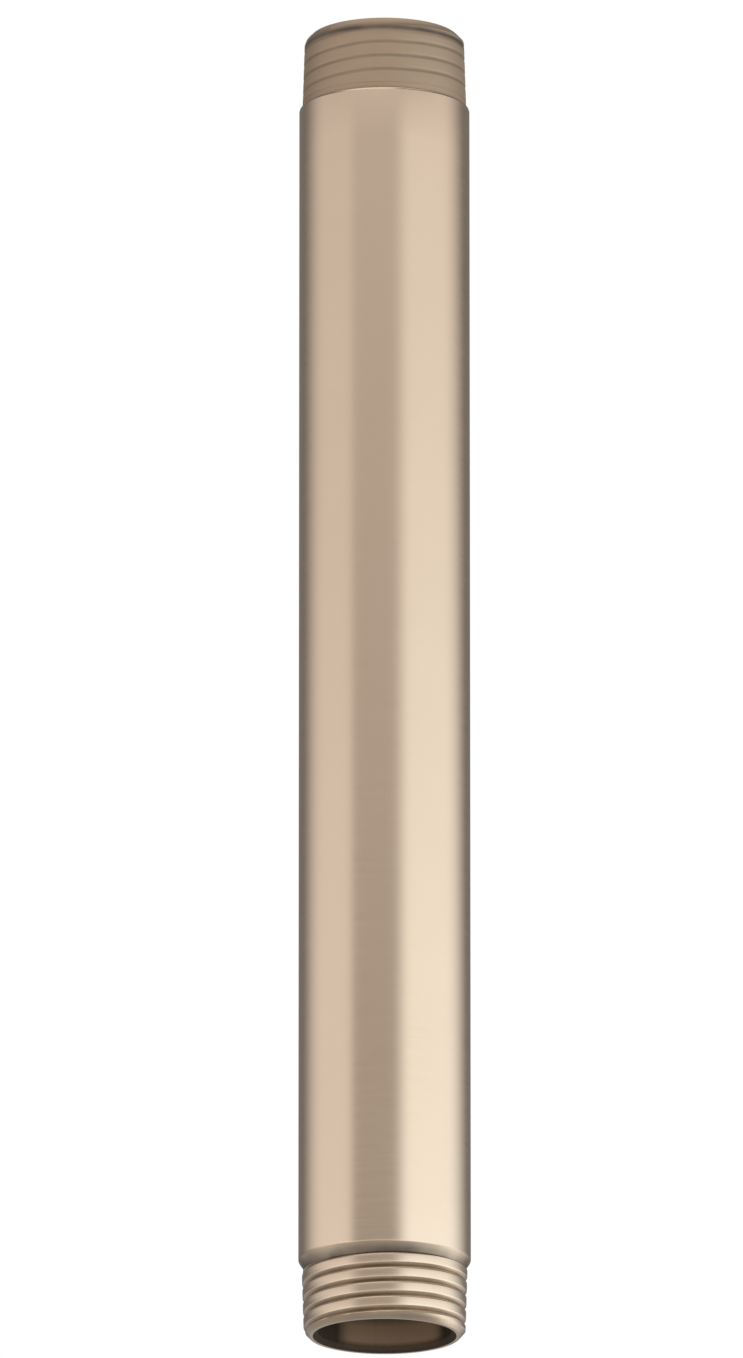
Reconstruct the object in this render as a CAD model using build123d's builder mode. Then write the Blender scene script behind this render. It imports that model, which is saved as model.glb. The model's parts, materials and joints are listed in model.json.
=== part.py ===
from build123d import *
import os
from math import ceil, radians, tan

# Straight ceiling shower arm, turned from one brass tube.
# A tapered pipe thread at each end: the upper one screws into the ceiling fitting,
# the lower one carries the shower head, and water runs down the bore between them.
# Origin at the centre of the upper end face, +Z up along the tube.

# Driving dimensions, in millimetres and degrees
inch = 25.4
tube_diameter = 0.840 * inch   # outside of 1/2 in pipe
body_length = 149.0            # finished tube from shoulder to shoulder
body_edge_radius = 0.4         # buffed edge of the tube at each shoulder

thread_pitch = inch / 14       # fourteen turns to the inch
thread_taper = 1 / 16          # growth in diameter with distance from the end face
flank_angle = 30.0             # each flank from the plane across the tube
crest_flat = 0.5               # width of the crest along the tube
root_flat = 0.4                # width of the floor of the groove
thread_length = 9.3            # shoulder to end face
relief_width = 1.1             # plain neck between the thread and the shoulder
relief_depth = 0.5             # neck below the crest of the thread beside it
upper_thread_start = 156.0     # turn of each thread about the tube
lower_thread_start = 42.0
points_per_turn = 16

end_chamfer = 0.65             # lead-in around each end of the thread
rim_width = 0.66               # flat ring left on each end face
root_wall = 0.9                # brass under the thread root at the end face

# The rule for tapered pipe threads puts the pitch line at the end face this many pitches
# inside the tube's diameter: a fixed part and a part for each inch of that diameter.
pitch_line_drop = 1.1
pitch_line_drop_per_inch = 0.05

# Thread form: crest and root are flat, and the crest stands above the pitch line,
# where ridge and groove are equally wide, by its share of the tooth
radius_slope = thread_taper / 2
flank_slope = tan(radians(flank_angle))
flank_width = (thread_pitch - crest_flat - root_flat) / 2
thread_depth = flank_width / flank_slope
pitch_drop = (pitch_line_drop + pitch_line_drop_per_inch * tube_diameter / inch) * thread_pitch
end_pitch_radius = (tube_diameter - pitch_drop) / 2
end_crest_radius = end_pitch_radius + (thread_pitch / 2 - crest_flat) / 2 / flank_slope
end_root_radius = end_crest_radius - thread_depth
threaded_length = thread_length - relief_width
neck_radius = end_crest_radius + radius_slope * threaded_length - relief_depth

# Whole tube
overall_length = body_length + 2 * thread_length
bore_radius = end_root_radius - root_wall
end_face_radius = end_crest_radius - end_chamfer
mouth_chamfer = end_face_radius - rim_width - bore_radius


def helix_turn(end_radius, start_height):
    """One turn of a helix that grows with the taper, from +X round to +X again."""
    turn_points = []
    for step in range(points_per_turn + 1):
        share = step / points_per_turn
        height = start_height + thread_pitch * share
        radius = end_radius + radius_slope * height
        turn_points.append(Vector(radius, 0, height).rotate(Axis.Z, 360 * share))
    return Spline(*turn_points).edge()


def closing_faces(root_helix, step_corners):
    """Ramp from the axis out to a root, and the step between the two ends of the ramp."""
    axis_low = Vector(0, 0, step_corners[0].Z)
    axis_high = Vector(0, 0, step_corners[-1].Z)
    ramp = Face.make_surface_from_curves(root_helix, Edge.make_line(axis_low, axis_high))
    step = Face(Wire.make_polygon([axis_low, *step_corners, axis_high]))
    return [ramp, step]


# Endless thread: the edges of root and crest are helices, one turn long, and each strip
# of flank, crest or root is ruled straight across from one helix to the next.
# It runs past the end face and past the neck, so that both of its closing ramps are cut away.
run_in = 2 * thread_pitch
turn_count = ceil((threaded_length + run_in) / thread_pitch)
helices = []
for turn in range(turn_count):
    flank_start = turn * thread_pitch - run_in + root_flat / 2
    crest_start = flank_start + flank_width
    crest_end = crest_start + crest_flat
    helices.append(helix_turn(end_root_radius, flank_start))
    helices.append(helix_turn(end_crest_radius, crest_start))
    helices.append(helix_turn(end_crest_radius, crest_end))
    helices.append(helix_turn(end_root_radius, crest_end + flank_width))
helices.append(helix_turn(end_root_radius, flank_start + thread_pitch))

thread_faces = []
for lower_helix, upper_helix in zip(helices, helices[1:]):
    thread_faces.append(Face.make_surface_from_curves(lower_helix, upper_helix))
strips_per_turn = len(thread_faces) // turn_count
low_corners = [helix @ 0 for helix in helices[: strips_per_turn + 1]]
high_corners = [helix @ 1 for helix in helices[-strips_per_turn - 1 :]]
thread_faces += closing_faces(helices[0], low_corners)
thread_faces += closing_faces(helices[-1], high_corners)
endless_thread = Solid(Shell(thread_faces))

# One threaded end, with its end face at z = 0 and the tube above it
with BuildPart() as threaded_end:
    add(endless_thread)

    # Cut to length, with a lead-in cone that rises from the edge of the end face
    with BuildSketch(Plane.XZ):
        with BuildLine():
            Polyline(
                (0, 0),
                (end_face_radius, 0),
                (end_face_radius + threaded_length, threaded_length),
                (0, threaded_length),
                close=True,
            )
        make_face()
    revolve(axis=Axis.Z, mode=Mode.INTERSECT)

    # Neck where the thread runs out before the shoulder
    with BuildSketch(Plane.XY.offset(threaded_length)):
        Circle(neck_radius)
    extrude(amount=relief_width)

with BuildPart() as shower_arm:
    # Finished tube with its buffed edges
    with BuildSketch(Plane.XY.offset(-thread_length)):
        Circle(tube_diameter / 2)
    extrude(amount=-body_length)
    fillet(shower_arm.edges().filter_by(GeomType.CIRCLE), body_edge_radius)

    # Both threads are right-handed, so the upper end is turned over and not mirrored
    lower_end = Location((0, 0, -overall_length), (0, 0, lower_thread_start))
    upper_end = Location((0, 0, 0), (180, 0, upper_thread_start))
    with Locations(lower_end, upper_end):
        add(threaded_end.part)

    # Waterway from end to end, with a chamfered mouth at each
    Hole(bore_radius)
    waterway = shower_arm.faces().filter_by(GeomType.CYLINDER).sort_by(SortBy.RADIUS)[0]
    chamfer(waterway.edges().filter_by(GeomType.CIRCLE), mouth_chamfer)

shower_arm.part.label = "shower_arm"
os.makedirs("parts", exist_ok=True)
export_step(shower_arm.part, "parts/shower_arm.step")
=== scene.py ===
import json
import math
import bpy
import numpy as np
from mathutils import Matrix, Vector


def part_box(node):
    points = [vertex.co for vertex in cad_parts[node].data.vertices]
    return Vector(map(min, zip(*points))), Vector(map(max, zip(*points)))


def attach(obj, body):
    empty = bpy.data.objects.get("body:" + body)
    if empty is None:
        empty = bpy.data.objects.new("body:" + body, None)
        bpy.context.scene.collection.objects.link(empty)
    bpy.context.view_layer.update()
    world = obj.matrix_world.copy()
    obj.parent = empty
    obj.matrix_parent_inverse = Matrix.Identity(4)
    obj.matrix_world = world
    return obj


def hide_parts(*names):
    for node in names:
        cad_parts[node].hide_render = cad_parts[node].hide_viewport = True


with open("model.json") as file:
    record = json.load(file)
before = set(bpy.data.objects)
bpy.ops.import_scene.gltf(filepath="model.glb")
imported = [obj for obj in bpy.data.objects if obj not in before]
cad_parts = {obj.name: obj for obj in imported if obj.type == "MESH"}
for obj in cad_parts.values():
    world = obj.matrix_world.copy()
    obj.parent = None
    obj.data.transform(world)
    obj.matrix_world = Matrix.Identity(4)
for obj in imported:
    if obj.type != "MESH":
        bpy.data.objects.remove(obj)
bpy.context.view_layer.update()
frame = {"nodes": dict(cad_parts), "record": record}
scene = bpy.context.scene
mm = 0.001
noiseSpan = (0.3, 0.7)          # most values of a noise texture lie between these
mounts = {mount["name"]: mount["dims"] for mount in frame["record"]["mounts"]}
print("frame loaded:", sorted(frame["nodes"]))


# sRGB hex to the linear colour that shaders take
def linearColour(hexColour):
    channels = np.array([int(hexColour[i:i + 2], 16) for i in (1, 3, 5)]) / 255
    linear = np.where(channels <= 0.04045, channels / 12.92, ((channels + 0.055) / 1.055) ** 2.4)
    return (*linear.tolist(), 1.0)


# one node with its settings, and its inputs set to a value or linked to another node's output
def addNode(tree, kind, inputs, **settings):
    node = tree.nodes.new(kind)
    for name, value in settings.items():
        setattr(node, name, value)
    for socket, value in inputs.items():
        if isinstance(value, bpy.types.NodeSocket):
            tree.links.new(value, node.inputs[socket])
        else:
            node.inputs[socket].default_value = value
    return node


def emptyMaterial(name):
    material = bpy.data.materials.new(name)
    material.use_nodes = True
    material.node_tree.nodes.clear()
    return material, material.node_tree


def newMeshObject(name, points, faces, materials):
    mesh = bpy.data.meshes.new(name)
    mesh.from_pydata(points.tolist(), [], faces)
    for material in materials:
        mesh.materials.append(material)
    piece = bpy.data.objects.new(name, mesh)
    scene.collection.objects.link(piece)
    return piece


# Finish of the tube: brass with a pale bronze coat, brushed round the tube.
# To the eye a warm satin metal, with soft upright bands of light and dark.
tubeFinish = {
    "light": "#E2C9B1",
    "dark": "#D9C0A7",
    "roughness": (0.18, 0.26),
    "hairlineWidth": 0.16,      # mm, about twice the real grit so that it shows
    "hairlineLength": 9.0,      # mm round the tube
    "hairlineHeight": 0.0006,   # mm
    "cloudSize": 14.0,          # mm, slow drift of the coat
    "lightShare": 0.25,         # least share of the light colour
}


def brushedBronze(look):
    material, tree = emptyMaterial("brushed_bronze_on_brass")
    place = addNode(tree, "ShaderNodeTexCoord", {}).outputs["Object"]
    across = 1 / (look["hairlineLength"] * mm)
    along = 1 / (look["hairlineWidth"] * mm)
    stretched = addNode(tree, "ShaderNodeMapping", {"Vector": place, "Scale": (across, across, along)})
    hairline = addNode(tree, "ShaderNodeTexNoise", {
        "Vector": stretched.outputs["Vector"], "Scale": 1.0, "Detail": 3.0, "Roughness": 0.6})
    cloud = addNode(tree, "ShaderNodeTexNoise", {
        "Vector": place, "Scale": 1 / (look["cloudSize"] * mm), "Detail": 2.0})
    blend = addNode(tree, "ShaderNodeMath", {
        0: hairline.outputs["Fac"], 1: cloud.outputs["Fac"], 2: look["lightShare"]},
        operation="MULTIPLY_ADD")
    colour = addNode(tree, "ShaderNodeMix", {
        "Factor": blend.outputs["Value"],
        6: linearColour(look["dark"]), 7: linearColour(look["light"])}, data_type="RGBA")
    rough = addNode(tree, "ShaderNodeMapRange", {
        "Value": hairline.outputs["Fac"], "From Min": noiseSpan[0], "From Max": noiseSpan[1],
        "To Min": look["roughness"][0], "To Max": look["roughness"][1]})
    bump = addNode(tree, "ShaderNodeBump", {
        "Height": hairline.outputs["Fac"], "Strength": 1.0, "Distance": look["hairlineHeight"] * mm})
    shader = addNode(tree, "ShaderNodeBsdfPrincipled", {
        "Base Color": colour.outputs[2], "Metallic": 1.0, "Roughness": rough.outputs["Result"],
        "Normal": bump.outputs["Normal"]})
    addNode(tree, "ShaderNodeOutputMaterial", {"Surface": shader.outputs["BSDF"]})
    return material


# Finish of the threads: the same coat over tool marks, never brushed, and thinner on the upper end.
# To the eye a duller brown-gold than the tube, matt at the upper end and painted darker there as
# painted shade, with painted shade in the grooves.
threadFinish = {
    "lowerCrest": "#D5BDA5",
    # darker crest colour for the upper end: painted shade
    "shadedUpperCrest": "#B79E86",
    # dark colour of the painted shade in the grooves, the neck, the rim, the buffed edge and beside the
    # mouth
    "paintedShade": "#625A50",
    "roughness": (0.22, 0.32),
    "upperRoughness": 0.28,     # more than at the lower end
    "toolMark": 0.12,           # mm between the marks of the cutting tool
    "toolMarkLength": 3.6,      # mm round the thread
    "toolMarkHeight": 0.0012,   # mm
    "patchSize": 4.0,           # mm, patches where the painted shade is thin or thick
    "patchSpan": (0.35, 0.65),  # values of the noise for a thin and for a thick patch
    "patchShare": (0.85, 1.15),  # of the painted shade, in a thin and in a thick patch
}


def cutBronze(look):
    material, tree = emptyMaterial("machined_bronze_thread_painted_shade")
    place = addNode(tree, "ShaderNodeTexCoord", {}).outputs["Object"]
    paintedShade = addNode(tree, "ShaderNodeAttribute", {}, attribute_name="paintedShade")
    shadeAndDullness = addNode(tree, "ShaderNodeAttribute", {}, attribute_name="shadeAndDullness")
    across = 1 / (look["toolMarkLength"] * mm)
    along = 1 / (look["toolMark"] * mm)
    stretched = addNode(tree, "ShaderNodeMapping", {"Vector": place, "Scale": (across, across, along)})
    marks = addNode(tree, "ShaderNodeTexNoise", {
        "Vector": stretched.outputs["Vector"], "Scale": 1.0, "Detail": 3.0})
    patch = addNode(tree, "ShaderNodeTexNoise", {
        "Vector": place, "Scale": 1 / (look["patchSize"] * mm), "Detail": 2.0})
    patchShare = addNode(tree, "ShaderNodeMapRange", {
        "Value": patch.outputs["Fac"],
        "From Min": look["patchSpan"][0], "From Max": look["patchSpan"][1],
        "To Min": look["patchShare"][0], "To Max": look["patchShare"][1]})
    # painted shade, thinner or thicker by patches
    shadeAmount = addNode(tree, "ShaderNodeMath", {
        0: paintedShade.outputs["Fac"], 1: patchShare.outputs["Result"]},
        operation="MULTIPLY", use_clamp=True)
    # crest colour, painted darker on the upper end as painted shade; the same share makes it rougher
    crest = addNode(tree, "ShaderNodeMix", {
        "Factor": shadeAndDullness.outputs["Fac"],
        6: linearColour(look["lowerCrest"]), 7: linearColour(look["shadedUpperCrest"])}, data_type="RGBA")
    colour = addNode(tree, "ShaderNodeMix", {
        "Factor": shadeAmount.outputs["Value"], 6: crest.outputs[2], 7: linearColour(look["paintedShade"])},
        data_type="RGBA")
    markRough = addNode(tree, "ShaderNodeMapRange", {
        "Value": marks.outputs["Fac"], "From Min": noiseSpan[0], "From Max": noiseSpan[1],
        "To Min": look["roughness"][0], "To Max": look["roughness"][1]})
    rough = addNode(tree, "ShaderNodeMath", {
        0: shadeAndDullness.outputs["Fac"], 1: look["upperRoughness"], 2: markRough.outputs["Result"]},
        operation="MULTIPLY_ADD")
    bump = addNode(tree, "ShaderNodeBump", {
        "Height": marks.outputs["Fac"], "Strength": 1.0, "Distance": look["toolMarkHeight"] * mm})
    shader = addNode(tree, "ShaderNodeBsdfPrincipled", {
        "Base Color": colour.outputs[2], "Metallic": 1.0, "Roughness": rough.outputs["Value"],
        "Normal": bump.outputs["Normal"]})
    addNode(tree, "ShaderNodeOutputMaterial", {"Surface": shader.outputs["BSDF"]})
    return material


# Wall of the waterway: bare brass, oxidised to a matt brown, with a band of painted light just inside
# the mouth on one side and painted shade at the mouth and deeper in. To the eye a dark hole that is a
# little lighter in the middle of its mouth.
boreFinish = {
    # colour of the painted light on the wall
    "litWall": "#94795E",
    # colour of the painted shade at the mouth and deep in the bore
    "shadedWall": "#2C221A",
    "roughness": 0.75,
    "specular": 0.15,           # the oxide hardly shines
    "drawMark": 0.25,           # mm between the marks of drawing
    "drawMarkLength": 12.0,     # mm along the bore
    "drawMarkShare": 0.2,       # what the marks add to the painted shade
}


def oxidisedBrass(look):
    material, tree = emptyMaterial("oxidised_brass_bore_painted_light_and_shade")
    place = addNode(tree, "ShaderNodeTexCoord", {}).outputs["Object"]
    boreShadeLevel = addNode(tree, "ShaderNodeAttribute", {}, attribute_name="borePaintedShade")
    across = 1 / (look["drawMark"] * mm)
    along = 1 / (look["drawMarkLength"] * mm)
    stretched = addNode(tree, "ShaderNodeMapping", {"Vector": place, "Scale": (across, across, along)})
    marks = addNode(tree, "ShaderNodeTexNoise", {
        "Vector": stretched.outputs["Vector"], "Scale": 1.0, "Detail": 3.0})
    share = addNode(tree, "ShaderNodeMath", {
        0: marks.outputs["Fac"], 1: look["drawMarkShare"], 2: boreShadeLevel.outputs["Fac"]},
        operation="MULTIPLY_ADD", use_clamp=True)
    colour = addNode(tree, "ShaderNodeMix", {
        "Factor": share.outputs["Value"],
        6: linearColour(look["litWall"]), 7: linearColour(look["shadedWall"])}, data_type="RGBA")
    shader = addNode(tree, "ShaderNodeBsdfPrincipled", {
        "Base Color": colour.outputs[2], "Roughness": look["roughness"],
        "Specular IOR Level": look["specular"]})
    addNode(tree, "ShaderNodeOutputMaterial", {"Surface": shader.outputs["BSDF"]})
    return material


# The arm's skin, in mm and degrees. The node's box and the mounts give the length and the main radii.
armLow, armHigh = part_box("shower_arm")
armLength = (armHigh.z - armLow.z) / mm
arm = {
    "length": armLength,
    "tubeRadius": mounts["tube"]["r_mm"],
    "boreRadius": mounts["waterway"]["r_mm"],
    "mouthChamfer": (armLength - mounts["waterway"]["length_mm"]) / 2 + 0.22,  # buffed wider
    "crestRadius": mounts["lower_thread"]["r_mm"] + 0.353,  # crest above the pitch line, at the end
    "threadLength": mounts["lower_thread"]["length_mm"],
    "pitch": 25.4 / 14,         # fourteen turns to the inch
    "radiusSlope": 1 / 32,      # taper of 1 in 16 on the diameter
    "cornerRounding": 0.25,     # share of a groove's side over which its lip is softened
    "shadeReach": (0.1, 0.65),  # share of the groove's depth where the painted shade starts and is full
    "mouthShade": 0.1,        # painted shade on the end face, beside the mouth
    "leadIn": 0.65,             # chamfer round the end of the thread
    "edgeRadius": 0.4,          # buffed edge of the tube
    "boreShadeDepth": (0.0, 0.5, 1.3, 3.2, 4.6),  # into the bore, and how much painted shade it has there
    "boreShadeLevel": (0.85, 0.85, 0.0, 0.0, 0.7),
    "litSide": (82.0, 46.0, 0.25),  # direction, half width and fade of the patch of the wall with painted light
    "columns": 180,             # round the tube
    "edgeRows": 6,              # along a buffed edge
    "mouthRows": 24,            # along the length of the bore with painted light and shade
    "plainRows": 12,            # along half of the tube
    "weldDigits": 5,            # points that agree to so many digits of a mm are one point
    "sharpAngle": 35.0,         # between faces, past which their edge is drawn sharp
}
# The lower end is coated like the tube. On the upper end, which the ceiling hides, the coat nearly
# fills the grooves, they run out before the shoulder, and a ring of painted shade lies round the rim.
lowerEnd = {
    "start": 42.0,              # angle where the groove meets the end face
    "sense": 1,                 # the lower thread runs up from its face, the upper one down
    "face": -armLength,
    "groove": 0.38,             # depth below the crest
    "width": 0.76,              # at the crest, where the coat has rounded it over
    "paintedShade": 0.62,            # how full of painted shade the groove is
    "runOut": (1.6, 1.0),       # length over which the groove runs out, and its share left at the neck
    "rimShade": (0.3, 0.45, 0.42),  # ring of painted shade round the end: its depth, half width and share
    "neckWidth": 1.1,           # plain neck between thread and shoulder
    "neckDepth": 0.4,           # below the crest beside it
    "neckFill": 0.95,           # how far the coat fills the neck's corner: 0 square, 1 a straight slope
    "edgeCover": 60.0,          # degrees of the tube's buffed edge that the coat covers
    "neckShade": (1.0, 0.7),  # painted shade beside the thread and in the corner
    "shadeAndDullness": 0.0,            # 0 for a coat like the tube's, 1 for the dull one whose crests are painted darker as painted shade
}
upperEnd = {
    "start": 156.0,
    "sense": -1,
    "face": 0.0,
    "groove": 0.05,
    "width": 0.66,
    "paintedShade": 0.38,
    "runOut": (1.6, 0.0),
    "rimShade": (1.35, 0.42, 0.9),
    "neckWidth": 0.7,
    "neckDepth": 0.04,
    "neckFill": 0.0,
    "edgeCover": 0.0,
    "neckShade": (0.0, 0.1),
    "shadeAndDullness": 1.0,
}


# smooth lesser of a value and 1, blended over the given width
def softCap(value, width):
    mix = np.clip(0.5 + 0.5 * (1 - value) / width, 0, 1)
    return 1 + (value - 1) * mix - width * mix * (1 - mix)


# smooth step from 0 to 1 about a centre
def softStep(value, centre, spread):
    share = np.clip((value - centre) / spread + 0.5, 0, 1)
    return share * share * (3 - 2 * share)


# Radius of the thread at an angle and a depth from its end face, and the painted shade there.
# The groove is a helix, so the distance to its middle comes from angle / 360 - depth / pitch.
# Its sides rise straight to the crest, all of it on a cone, and the lead-in cone cuts it off.
# Near the neck its depth is multiplied by a share that falls along the thread, so that it runs out.
def threadForm(angle, depth, end):
    turns = angle / 360 - depth / arm["pitch"]
    fromMiddle = np.abs(turns - np.round(turns)) * arm["pitch"]
    rise = softCap(2 * fromMiddle / end["width"], arm["cornerRounding"])
    runOut, share = end["runOut"]
    neckStart = arm["threadLength"] - end["neckWidth"]
    left = np.interp(depth, (neckStart - runOut, neckStart), (1, share))
    radius = arm["crestRadius"] - end["groove"] * (1 - rise) * left + arm["radiusSlope"] * depth
    # painted shade darkens the groove, and a ring of it lies round the end
    paintedShade = end["paintedShade"] * np.interp(1 - rise, arm["shadeReach"], (0, 1)) * left
    rimDepth, rimWidth, rimShare = end["rimShade"]
    rimShade = rimShare * np.exp(-((depth - rimDepth) / rimWidth) ** 2)
    return np.minimum(radius, arm["crestRadius"] - arm["leadIn"] + depth), np.maximum(paintedShade, rimShade)


# Rows along the bore from its middle to its mouth, and out over the mouth's chamfer to the end face
def boreRows():
    deepest = arm["boreShadeDepth"][-1]
    plain = np.linspace(arm["length"] / 2, deepest, arm["plainRows"] + 1)[:-1]
    shadedWall = np.linspace(deepest, arm["mouthChamfer"], arm["mouthRows"] + 1)
    depth = np.concatenate([plain, shadedWall, [0.0]])
    radius = np.full(len(depth), arm["boreRadius"])
    radius[-1] += arm["mouthChamfer"]
    paintedShade = np.zeros(len(depth))
    paintedShade[-1] = arm["mouthShade"]
    return depth, radius, paintedShade


# Rows on the thread climb with its helix, so that grooves and crests lie on grid lines, and are cut
# off level at the end face and at the neck. In each pitch they are closest at the groove's lips.
def threadRows(angle, end):
    pitch = arm["pitch"]
    side = end["width"] / 2
    lip = arm["cornerRounding"] * side
    halfPitch = np.array([0, side / 2, side - lip, side - 0.4 * lip, side + 0.2 * lip, side + lip])
    acrossPitch = np.concatenate([halfPitch, [pitch / 2], pitch - halfPitch[:0:-1]])
    turns = np.arange(-1, math.ceil(arm["threadLength"] / pitch) + 1) * pitch
    offsets = (turns[:, None] + acrossPitch[None, :]).ravel()
    neckStart = arm["threadLength"] - end["neckWidth"]
    depth = np.clip(offsets[:, None] + pitch * angle[None, :] / 360, 0, neckStart)
    radius, paintedShade = threadForm(angle[None, :], depth, end)
    return depth, radius, paintedShade


# Rows along the neck, round the quarter circle of the buffed edge and along the tube to its middle.
# As the coat fills the neck, its corner moves from a square step to the middle of a straight slope.
def tubeRows(end):
    shoulder, edge, fill = arm["threadLength"], arm["edgeRadius"], end["neckFill"]
    neckStart = shoulder - end["neckWidth"]
    neckRadius = arm["crestRadius"] + arm["radiusSlope"] * neckStart - end["neckDepth"]
    turn = np.linspace(math.radians(end["edgeCover"]), math.pi / 2, arm["edgeRows"] + 1)
    edgeDepth = shoulder + edge * (1 - np.cos(turn))
    edgeRadius = arm["tubeRadius"] - edge * (1 - np.sin(turn))
    cornerDepth = shoulder + fill * ((neckStart + edgeDepth[0]) / 2 - shoulder)
    cornerRadius = neckRadius + fill * (edgeRadius[0] - neckRadius) / 2
    plain = np.linspace(shoulder + edge, arm["length"] / 2, arm["plainRows"] + 1)[1:]
    # painted shade on the buffed edge, fading round it
    edgeShade = end["neckShade"][1] * np.cos(turn)
    depth = np.concatenate([[neckStart, cornerDepth], edgeDepth, plain])
    tubeRadius = np.full(len(plain), arm["tubeRadius"])
    radius = np.concatenate([[neckRadius, cornerRadius], edgeRadius, tubeRadius])
    paintedShade = np.concatenate([end["neckShade"], edgeShade, np.zeros(len(plain))])
    return depth, radius, paintedShade


# One end of the arm as a grid: a profile from the middle of the bore, out of the mouth, up the thread
# and along the tube to its middle, carried round the tube, with the shares that its finishes read.
def endGrid(end):
    angle = np.linspace(0, 360, arm["columns"] + 1)
    bore = [np.repeat(rows[:, None], len(angle), axis=1) for rows in boreRows()]
    thread = threadRows(angle, end)
    tube = [np.repeat(rows[:, None], len(angle), axis=1) for rows in tubeRows(end)]
    depth, radius, paintedShade = (np.vstack(rows) for rows in zip(bore, thread, tube))

    # painted light on one side of the wall just inside the mouth, and painted shade everywhere else in
    # the bore
    direction, halfWidth, fade = arm["litSide"]
    around = end["sense"] * (angle + end["start"])
    litWall = softStep(np.cos(np.radians(around - direction)), math.cos(math.radians(halfWidth)), fade)
    boreShadeLevel = np.interp(depth, arm["boreShadeDepth"], arm["boreShadeLevel"])
    shares = {"paintedShade": paintedShade, "shadeAndDullness": np.full_like(radius, end["shadeAndDullness"]),
              "borePaintedShade": boreShadeLevel + (max(arm["boreShadeLevel"]) - boreShadeLevel) * (1 - litWall[None, :])}

    # finish of the strip above each row: bore and mouth 2, thread with neck and buffed edge 1, tube 0
    onNeck = arm["edgeRows"] + 1
    finish = np.repeat([2, 1, 0], [len(bore[0]) - 1, len(thread[0]) + onNeck, len(tube[0]) - onNeck])
    return np.radians(around), radius, depth, shares, finish


# The grids of both ends as one closed skin: radius and angle give x and y, and the depth from the
# end face gives z
def buildArmSkin():
    grids, endShares = [], []
    for end in (lowerEnd, upperEnd):
        around, radius, depth, shares, finish = endGrid(end)
        grids.append(np.stack([radius * np.cos(around), radius * np.sin(around),
                               end["face"] + end["sense"] * depth], axis=2))
        endShares.append(shares)
    points = np.concatenate(grids).reshape(-1, 3)
    rows, columns = radius.shape

    # both ends use the same quads; welding joins the seam, the cut-off rows and the two ends
    row, column = np.meshgrid(np.arange(rows - 1), np.arange(columns - 1), indexing="ij")
    first = row * columns + column
    quads = np.stack([first, first + 1, first + columns + 1, first + columns], axis=2).reshape(-1, 4)
    quads = np.concatenate([quads, quads + rows * columns])
    zones = np.tile(np.repeat(finish, columns - 1), 2)
    rounded = np.round(points, arm["weldDigits"])
    _, kept, welded = np.unique(rounded, axis=0, return_index=True, return_inverse=True)
    quads = welded.reshape(-1)[quads]
    points = points[kept] * mm

    # a quad with two corners welded together is a triangle, and one with more is nothing
    same = quads == np.roll(quads, -1, axis=1)
    whole = ~same.any(axis=1)
    thin = same.sum(axis=1) == 1
    order = (same[thin].argmax(axis=1)[:, None] + np.arange(1, 4)[None, :]) % 4
    triangles = np.take_along_axis(quads[thin], order, axis=1)
    faces = quads[whole].tolist() + triangles.tolist()
    zones = np.concatenate([zones[whole], zones[thin]])

    finishes = [brushedBronze(tubeFinish), cutBronze(threadFinish), oxidisedBrass(boreFinish)]
    skin = newMeshObject("shower_arm_skin", points, faces, finishes)
    mesh = skin.data
    mesh.polygons.foreach_set("material_index", zones.astype(np.int32))
    for name in endShares[0]:
        values = np.concatenate([shares[name].ravel() for shares in endShares])
        attribute = mesh.attributes.new(name, "FLOAT", "POINT")
        attribute.data.foreach_set("value", values[kept].astype(np.float32))
    mesh.shade_smooth()
    mesh.set_sharp_from_angle(angle=math.radians(arm["sharpAngle"]))
    mesh.validate()
    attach(skin, "root")
    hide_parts("shower_arm")
    print("arm skin:", len(points), "points,", len(faces), "faces")


buildArmSkin()

# Bowl of soft boxes round the arm, which only reflections see, open to the white studio above.
# In metres and degrees, with elevations from the arm's middle. Azimuth is from the front and grows
# to the camera's right.
lightBowl = {
    "radius": 1.0,
    "middle": -armLength / 2 * mm,
    "elevation": (-89, 56),
    "columns": 180,
    "rows": 146,
    "wall": ("#FFFFFF", 0.20),          # between the boxes
    "card": ("#FFFFFF", 0.50),          # below them
    "cardEdge": (-8, 10),               # elevation and spread of the change from wall to card
    "change": (15.3, 16.0),             # elevation and spread of the change from low to high
    "foot": (4.5, 3.0),                 # elevation and spread of the change at the foot of a box
}
# Where each box has its two sides and its two ends, and how softly they fade; how far its sides lean
# in its high part and move at its foot; and the colour and level of its low part and its high part.
softBoxes = {
    "left": {
        "azimuth": (-119, -44), "sides": (50, 14), "elevation": (-38, 31), "ends": (20, 6),
        "lean": (6, 0), "foot": (16, 0), "low": ("#F8FBFF", 0.85), "high": ("#FFFFFF", 0.57)},
    "front": {
        "azimuth": (-44, 22), "sides": (14, 24), "elevation": (-40, 40), "ends": (20, 14),
        "lean": (0, 0), "foot": (0, 0), "low": ("#FFFCFA", 0.24), "high": ("#FFFFFF", 0.49)},
    "right": {
        "azimuth": (22, 121), "sides": (24, 54), "elevation": (-40, 31), "ends": (20, 6),
        "lean": (0, -9), "foot": (0, 0), "low": ("#E9F7FF", 1.40), "high": ("#FFFFFF", 0.70)},
    "lowRight": {
        "azimuth": (106, 152), "sides": (30, 24), "elevation": (-42, -16), "ends": (14, 12),
        "lean": (0, 0), "foot": (0, 0), "low": ("#FFFFFF", 0.60), "high": ("#FFFFFF", 0.60)},
    "lowFront": {
        "azimuth": (-60, 22), "sides": (14, 24), "elevation": (-45, -3), "ends": (20, 12),
        "lean": (0, 0), "foot": (0, 0), "low": ("#FFFFFF", 0.20), "high": ("#FFFFFF", 0.20)},
    "upperFront": {
        "azimuth": (-64, 16), "sides": (20, 20), "elevation": (34, 56), "ends": (6, 8),
        "lean": (0, 0), "foot": (0, 0), "low": ("#FFFFFF", 0.80), "high": ("#FFFFFF", 0.80)},
}


def radiance(colourAndLevel):
    colour, level = colourAndLevel
    return np.array(linearColour(colour)[:3]) * level


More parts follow.
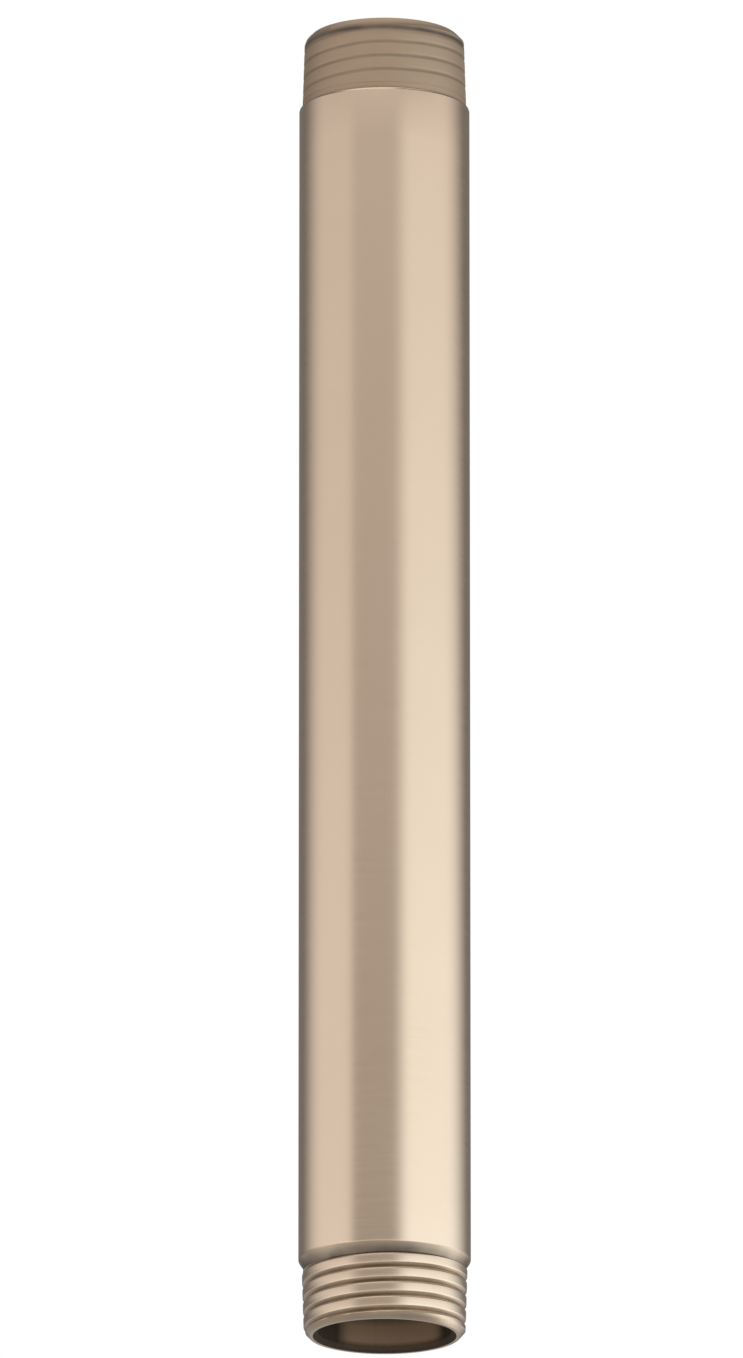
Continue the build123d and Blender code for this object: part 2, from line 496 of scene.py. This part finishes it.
# Light on the bowl: the wall, or the card below it, plus each box, which fades at its sides and ends
# and changes from its low to its high part, with its sides moved by its lean and its foot.
def bowlLight(azimuth, elevation):
    azimuth, elevation = azimuth[..., None], elevation[..., None]
    light = np.zeros(azimuth.shape[:-1] + (3,))
    rise = softStep(elevation, *lightBowl["change"])
    foot = 1 - softStep(elevation, *lightBowl["foot"])
    for box in softBoxes.values():
        (bottom, top), (bottomFade, topFade) = box["elevation"], box["ends"]
        left, right = (side + lean * rise + shift * foot
                       for side, lean, shift in zip(box["azimuth"], box["lean"], box["foot"]))
        leftFade, rightFade = box["sides"]
        across = softStep(azimuth, left, leftFade) * (1 - softStep(azimuth, right, rightFade))
        upward = softStep(elevation, bottom, bottomFade) * (1 - softStep(elevation, top, topFade))
        light += across * upward * (radiance(box["low"]) * (1 - rise) + radiance(box["high"]) * rise)
    above = softStep(elevation, *lightBowl["cardEdge"])
    return light + radiance(lightBowl["wall"]) * above + radiance(lightBowl["card"]) * (1 - above)


# Part of a sphere, with azimuth round it and elevation up it, which glows as bowlLight says
def buildLightBowl():
    azimuth = np.linspace(-180, 180, lightBowl["columns"] + 1)
    elevation = np.linspace(*lightBowl["elevation"], lightBowl["rows"])
    across, up = np.meshgrid(azimuth, elevation, indexing="ij")
    around, tilt = np.radians(across), np.radians(up)
    points = lightBowl["radius"] * np.stack(
        [np.cos(tilt) * np.sin(around), -np.cos(tilt) * np.cos(around), np.sin(tilt)], axis=2)
    points[:, :, 2] += lightBowl["middle"]
    rows = lightBowl["rows"]
    column, row = np.meshgrid(np.arange(lightBowl["columns"]), np.arange(rows - 1), indexing="ij")
    first = (column * rows + row).ravel()
    faces = np.stack([first, first + 1, first + rows + 1, first + rows], axis=1).tolist()

    material, tree = emptyMaterial("soft_box_light")
    light = addNode(tree, "ShaderNodeAttribute", {}, attribute_name="light")
    glow = addNode(tree, "ShaderNodeEmission", {"Color": light.outputs["Color"]})
    addNode(tree, "ShaderNodeOutputMaterial", {"Surface": glow.outputs["Emission"]})
    bowl = newMeshObject("light_bowl", points.reshape(-1, 3), faces, [material])
    colour = np.ones((len(azimuth), rows, 4), dtype=np.float32)
    colour[:, :, :3] = bowlLight(across, up)
    bowl.data.attributes.new("light", "FLOAT_COLOR", "POINT").data.foreach_set("color", colour.ravel())
    bowl.visible_camera = False
    print("light bowl:", ", ".join(softBoxes))


buildLightBowl()

# Pale floor, far below the hanging arm, and a white studio behind it
studio = {
    "floorDrop": 5.6,           # m
    "floorSize": 24.0,          # m
    "floorColour": "#E8E6E3",
    "floorRoughness": 0.9,
}


def buildStudio():
    material, tree = emptyMaterial("pale_floor")
    shader = addNode(tree, "ShaderNodeBsdfPrincipled", {
        "Base Color": linearColour(studio["floorColour"]), "Roughness": studio["floorRoughness"]})
    addNode(tree, "ShaderNodeOutputMaterial", {"Surface": shader.outputs["BSDF"]})
    side = studio["floorSize"] / 2
    corners = np.array([(-side, -side, 0), (side, -side, 0), (side, side, 0), (-side, side, 0)])
    corners[:, 2] = -studio["floorDrop"]
    newMeshObject("floor", corners, [(0, 1, 2, 3)], [material])

    world = bpy.data.worlds.new("white_studio")
    world.use_nodes = True
    world.node_tree.nodes.clear()
    white = addNode(world.node_tree, "ShaderNodeBackground", {"Color": (1, 1, 1, 1), "Strength": 1.0})
    addNode(world.node_tree, "ShaderNodeOutputWorld", {"Surface": white.outputs["Background"]})
    scene.world = world
    scene.view_settings.view_transform = "Standard"
    print("studio set")


buildStudio()

# Camera in front of the arm and well below it, looking up
view = {
    "distance": 2.6,            # m in front of the arm's axis
    "drop": 0.8093,             # m below the upper end
    "pitch": 15.6005,           # degrees up
    "lens": 574.6,              # mm, for a frame 36 mm high
    "frameHeight": 36.0,        # mm
    "frameRows": 1358,          # pixels
    "offset": 13.0,             # pixels that the arm stands right of the middle
    "farEnd": 50.0,             # m, past the floor
}


def placeCamera():
    data = bpy.data.cameras.new("camera")
    data.sensor_fit = "VERTICAL"
    data.sensor_height = view["frameHeight"]
    data.sensor_width = view["frameHeight"]
    data.lens = view["lens"]
    data.clip_end = view["farEnd"]
    pitch = math.radians(view["pitch"])
    reach = view["distance"] / math.cos(pitch)
    pixelSize = view["frameHeight"] / view["frameRows"] / view["lens"] * reach
    camera = bpy.data.objects.new("camera", data)
    camera.location = (-view["offset"] * pixelSize, -view["distance"], -view["drop"])
    camera.rotation_euler = (math.pi / 2 + pitch, 0, 0)
    scene.collection.objects.link(camera)
    scene.camera = camera


placeCamera()
